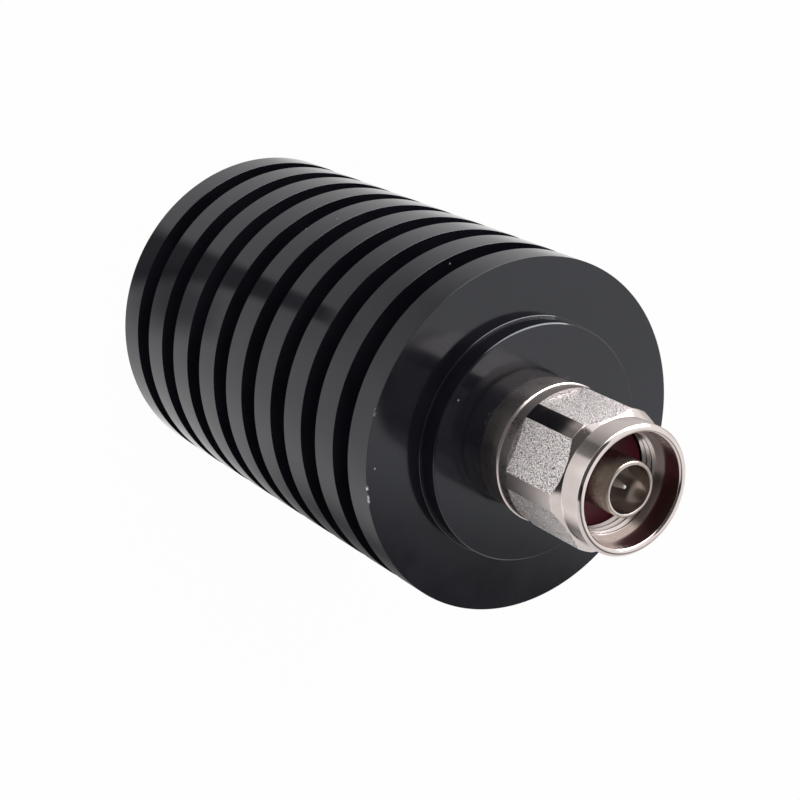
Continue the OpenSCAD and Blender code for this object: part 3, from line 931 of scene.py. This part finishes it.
class DUMMY_LOAD_OT_stage(bpy.types.Operator):
    """Lays the floor, hangs the lamps and sets up the camera"""

    bl_idname = "dummy_load.stage"
    bl_label = "Stage"

    def execute(self, context):
        look = context.scene.stage_look
        context.scene.view_settings.view_transform = "Standard"
        self.floor(look)
        self.surround(context.scene, look)
        self.lamps(look)
        self.camera(context.scene, look)
        return {"FINISHED"}

    def rays(self, tree):
        """One for rays straight from the camera, and one for mirrored and refracted rays."""
        ray = put(tree, "ShaderNodeLightPath").outputs
        mirrored = maths(tree, "MAXIMUM", ray["Is Glossy Ray"], ray["Is Transmission Ray"])
        return ray["Is Camera Ray"], mirrored

    def floor(self, look):
        """A pale paper floor that stays white in the picture and keeps a soft shadow."""
        bpy.ops.mesh.primitive_plane_add(size=4)
        paper = bpy.context.object
        paper.name = "floor"
        paper.data.materials.append(self.paper(look))

    def paper(self, look):
        """Paper whose glow for mirrored rays is painted with the light and shade of the studio."""
        material, tree, shader = finish("paper")
        if tree is None:
            return material
        direct, mirrored = self.rays(tree)
        place = place_on(tree)
        fibre = noise(tree, place, 900.0).outputs["Fac"]
        wire(tree, shader, "Base Color", blend_colours(
            tree, fibre, look.paper, scaled(look.paper, 0.98)))
        wire(tree, shader, "Roughness", 0.9)
        wire(tree, shader, "Specular IOR Level", 0.0)
        # Painted shade: the glow that mirrors see is darker on the left than on the right, and the soft
        # places of SHADES paint more light and shade into it.
        level = ranged(tree, parts(tree, place)["X"], -5 * MM, 25 * MM, 0.75, 0.9)
        for values in SHADES.values():
            level = maths(tree, "MULTIPLY", level, self.shade(tree, place, *values))
        glow = put(tree, "ShaderNodeEmission", {
            "Color": (1, 1, 1, 1), "Strength": between(tree, mirrored, 1.0, level)})
        white = maths(tree, "MAXIMUM", maths(tree, "MULTIPLY", direct, look.white), mirrored)
        mix = put(tree, "ShaderNodeMixShader", {0: white, 1: shader.outputs[0], 2: glow.outputs[0]})
        wire(tree, tree.nodes["Material Output"], "Surface", mix.outputs[0])
        return material

    def shade(self, tree, place, centre, size, soft, degrees, depth):
        """What one soft-edged place of the floor makes of the light that mirrors see."""
        local = put(tree, "ShaderNodeMapping", {
            "Vector": place, "Location": scaled((*centre, 0), MM),
            "Rotation": (0, 0, math.radians(degrees))}, vector_type="TEXTURE")
        sides = parts(tree, local.outputs[0])
        inside = 1.0
        for axis, width in zip("XY", size):
            gap = maths(tree, "ABSOLUTE", sides[axis])
            edge = ranged(tree, gap, (width / 2 - soft) * MM, (width / 2 + soft) * MM, 1.0, 0.0)
            inside = maths(tree, "MULTIPLY", inside, edge)
        return maths(tree, "MULTIPLY_ADD", inside, -depth, 1.0)

    def surround(self, scene, look):
        """White all round for the eye; mirrors see a dark place behind the camera and a grey side."""
        world = bpy.data.worlds.new("white studio")
        world.use_nodes = True
        tree = world.node_tree
        direct, mirrored = self.rays(tree)
        way = put(tree, "ShaderNodeTexCoord").outputs["Generated"]
        sky = parts(tree, way)
        aside = maths(tree, "ADD", sky["X"], maths(tree, "MULTIPLY", sky["Y"], 0.25))
        facing = put(tree, "ShaderNodeVectorMath", {0: way, 1: BEHIND_CAMERA}, operation="DOT_PRODUCT")
        behind = ranged(tree, facing.outputs["Value"], 0.7, 0.76, 1.0, 0.08)
        dusk = ranged(tree, sky["Z"], 0.55, 0.7, 0.9, 0.15)
        shown = maths(tree, "MULTIPLY", ranged(tree, aside, 0.185, 0.225, 1.15, dusk), behind)
        level = between(tree, direct, between(tree, mirrored, look.fill, shown), 1.0)
        wire(tree, tree.nodes["Background"], "Color", (1, 1, 1, 1))
        wire(tree, tree.nodes["Background"], "Strength", level)
        scene.world = world

    def lamps(self, look):
        """A soft key lamp for the matt surfaces and a low bright box that only mirrors see."""
        key = self.lamp("soft_lamp", look.key_place, look.key_size, look.key_size, look.key)
        key.visible_glossy = False
        power = look.box * math.pi * look.box_w * look.box_h
        box = self.lamp("left_box", look.box_place, look.box_w, look.box_h, power)
        box.visible_diffuse = False

    def lamp(self, name, place, width, height, power):
        """A rectangular lamp that faces the origin."""
        bpy.ops.object.light_add(type="AREA", location=place,
                                 rotation=Vector(place).to_track_quat("Z", "Y").to_euler())
        lamp = bpy.context.object
        lamp.name = name
        lamp.data.shape = "RECTANGLE"
        lamp.data.size, lamp.data.size_y = width, height
        lamp.data.energy = power
        return lamp

    def camera(self, scene, look):
        """The camera at the angle of the photograph."""
        turn = Euler((look.dip, 0, 0)).to_matrix() @ Euler((0, 0, look.roll)).to_matrix()
        bpy.ops.object.camera_add(location=look.eye, rotation=turn.to_euler())
        camera = bpy.context.object
        camera.data.sensor_width = 36
        camera.data.lens = look.lens
        camera.data.clip_start = 0.01
        scene.camera = camera


PIECES = (DUMMY_LOAD_OT_heat_sink, DUMMY_LOAD_OT_front_cap, DUMMY_LOAD_OT_plug_body,
          DUMMY_LOAD_OT_coupling_nut, DUMMY_LOAD_OT_nut_thread, DUMMY_LOAD_OT_gasket,
          DUMMY_LOAD_OT_outer_contact, DUMMY_LOAD_OT_center_contact, DUMMY_LOAD_OT_inner_pieces,
          DUMMY_LOAD_OT_stage)
LOOKS = {"heat_sink_look": HeatSinkLook, "plug_look": PlugLook, "nut_look": NutLook,
         "stage_look": StageLook}


class DUMMY_LOAD_PT_pieces(bpy.types.Panel):
    """Lists the pieces of the dummy load and their sizes"""

    bl_idname = "DUMMY_LOAD_PT_pieces"
    bl_label = "Dummy load"
    bl_space_type = "VIEW_3D"
    bl_region_type = "UI"
    bl_category = "Dummy load"

    def draw(self, context):
        for piece in PIECES:
            self.layout.operator(piece.bl_idname)
        for look, group in LOOKS.items():
            box = self.layout.box()
            for name in group.__annotations__:
                box.prop(getattr(context.scene, look), name)


CLASSES = (*LOOKS.values(), *PIECES, DUMMY_LOAD_PT_pieces)


def register():
    for item in CLASSES:
        bpy.utils.register_class(item)
    for look, group in LOOKS.items():
        setattr(bpy.types.Scene, look, bpy.props.PointerProperty(type=group))


def unregister():
    for look in LOOKS:
        delattr(bpy.types.Scene, look)
    for item in reversed(CLASSES):
        bpy.utils.unregister_class(item)


def main():
    register()
    bpy.ops.dummy_load.heat_sink()
    bpy.ops.dummy_load.front_cap()
    bpy.ops.dummy_load.plug_body()
    bpy.ops.dummy_load.coupling_nut()
    bpy.ops.dummy_load.nut_thread()
    bpy.ops.dummy_load.gasket()
    bpy.ops.dummy_load.outer_contact()
    bpy.ops.dummy_load.center_contact()
    bpy.ops.dummy_load.inner_pieces()
    bpy.ops.dummy_load.stage()


if __name__ == "__main__":
    main()
